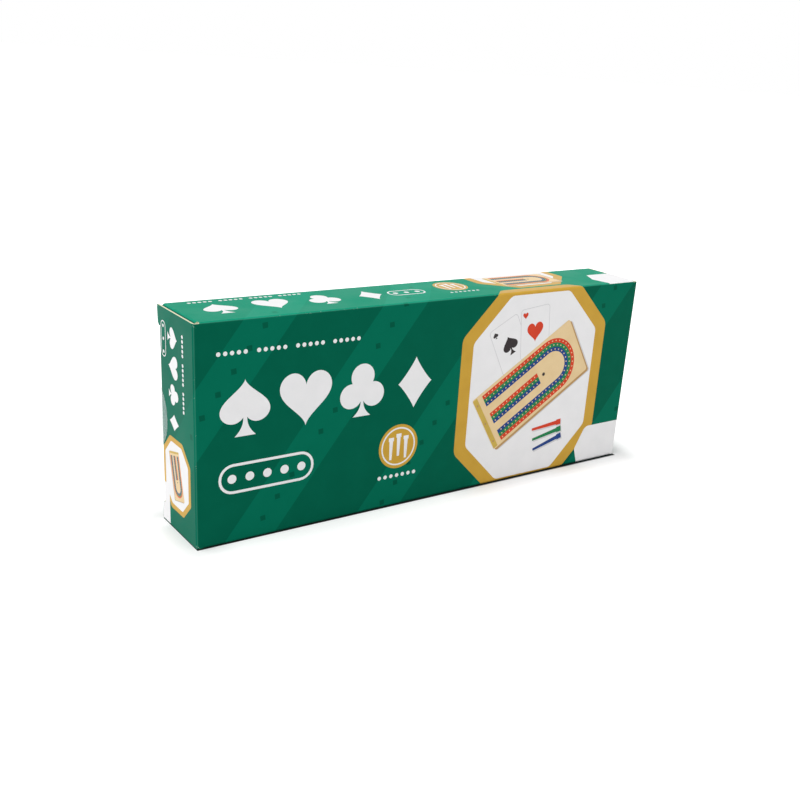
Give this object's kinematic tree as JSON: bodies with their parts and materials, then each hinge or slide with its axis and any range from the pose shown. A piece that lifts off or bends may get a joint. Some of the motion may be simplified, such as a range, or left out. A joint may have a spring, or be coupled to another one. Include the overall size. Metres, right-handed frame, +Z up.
{
  "type": "cribbage set",
  "caption": "Folding wooden cribbage board with pegs and cards, in a printed tuck-end carton whose end flaps open.",
  "frame": {"origin": "under the middle of the carton, on the surface it stands on", "axes": "+X to the right along the carton's length, -Y towards the viewer of the front panel, +Z up"},
  "size_m": [0.2744, 0.0404, 0.108],
  "materials": {
    "carton_print": "satin printed card, raw inside",
    "seal_film": "clear film",
    "board_wood": "satin lacquer",
    "hinge_brass": "polished",
    "screw_brass": "polished",
    "pin_steel": "plain",
    "peg_red": "gloss",
    "peg_green": "gloss",
    "peg_blue": "gloss",
    "playing_cards": "satin",
    "leaflet_paper": "matt"
  },
  "bodies": {
    "carton": {"carton_sleeve": "carton_print", "front_board_half": "board_wood", "back_board_half": "board_wood", "front_hinge_leaf": "hinge_brass", "back_hinge_leaf": "hinge_brass", "front_leaf_screws": "screw_brass", "back_leaf_screws": "screw_brass", "hinge_pin": "pin_steel", "red_pegs": "peg_red", "green_pegs": "peg_green", "blue_pegs": "peg_blue", "card_deck": "playing_cards", "rules_leaflet": "leaflet_paper", "left_seal_back_part": "seal_film", "right_seal_back_part": "seal_film"},
    "left_end_flap": {"left_end_flap": "carton_print", "left_seal_end_part": "seal_film"},
    "left_tuck_flap": {"left_tuck_flap": "carton_print"},
    "left_top_dust_flap": {"left_top_dust_flap": "carton_print"},
    "left_bottom_dust_flap": {"left_bottom_dust_flap": "carton_print"},
    "right_end_flap": {"right_end_flap": "carton_print", "right_seal_end_part": "seal_film"},
    "right_tuck_flap": {"right_tuck_flap": "carton_print"},
    "right_top_dust_flap": {"right_top_dust_flap": "carton_print"},
    "right_bottom_dust_flap": {"right_bottom_dust_flap": "carton_print"}
  },
  "joints": [
    {"name": "left_end_fold", "type": "hinge", "parent": "carton", "child": "left_end_flap", "pos_m": [-0.137, -0.0188, 0.054], "axis": [0, 0, 1], "range_deg": [0, 180]},
    {"name": "left_tuck_fold", "type": "hinge", "parent": "left_end_flap", "child": "left_tuck_flap", "pos_m": [-0.1356, 0.0183, 0.054], "axis": [0, 0, 1], "range_deg": [0, 27]},
    {"name": "left_top_dust_fold", "type": "hinge", "parent": "carton", "child": "left_top_dust_flap", "pos_m": [-0.1354, 0, 0.1066], "axis": [0, 1, 0], "range_deg": [0, 90]},
    {"name": "left_bottom_dust_fold", "type": "hinge", "parent": "carton", "child": "left_bottom_dust_flap", "pos_m": [-0.1354, 0, 0.0014], "axis": [0, -1, 0], "range_deg": [0, 90]},
    {"name": "right_end_fold", "type": "hinge", "parent": "carton", "child": "right_end_flap", "pos_m": [0.137, -0.0188, 0.054], "axis": [0, 0, -1], "range_deg": [0, 180]},
    {"name": "right_tuck_fold", "type": "hinge", "parent": "right_end_flap", "child": "right_tuck_flap", "pos_m": [0.1356, 0.0183, 0.054], "axis": [0, 0, -1], "range_deg": [0, 27]},
    {"name": "right_top_dust_fold", "type": "hinge", "parent": "carton", "child": "right_top_dust_flap", "pos_m": [0.1354, 0, 0.1066], "axis": [0, -1, 0], "range_deg": [0, 90]},
    {"name": "right_bottom_dust_fold", "type": "hinge", "parent": "carton", "child": "right_bottom_dust_flap", "pos_m": [0.1354, 0, 0.0014], "axis": [0, 1, 0], "range_deg": [0, 90]}
  ],
  "couplings": [
    {"joint": "left_tuck_fold", "follows": "left_end_fold", "ratio": 0.15},
    {"joint": "left_top_dust_fold", "follows": "left_end_fold", "ratio": 0.5},
    {"joint": "left_bottom_dust_fold", "follows": "left_end_fold", "ratio": 0.5},
    {"joint": "right_tuck_fold", "follows": "right_end_fold", "ratio": 0.15},
    {"joint": "right_top_dust_fold", "follows": "right_end_fold", "ratio": 0.5},
    {"joint": "right_bottom_dust_fold", "follows": "right_end_fold", "ratio": 0.5}
  ]
}
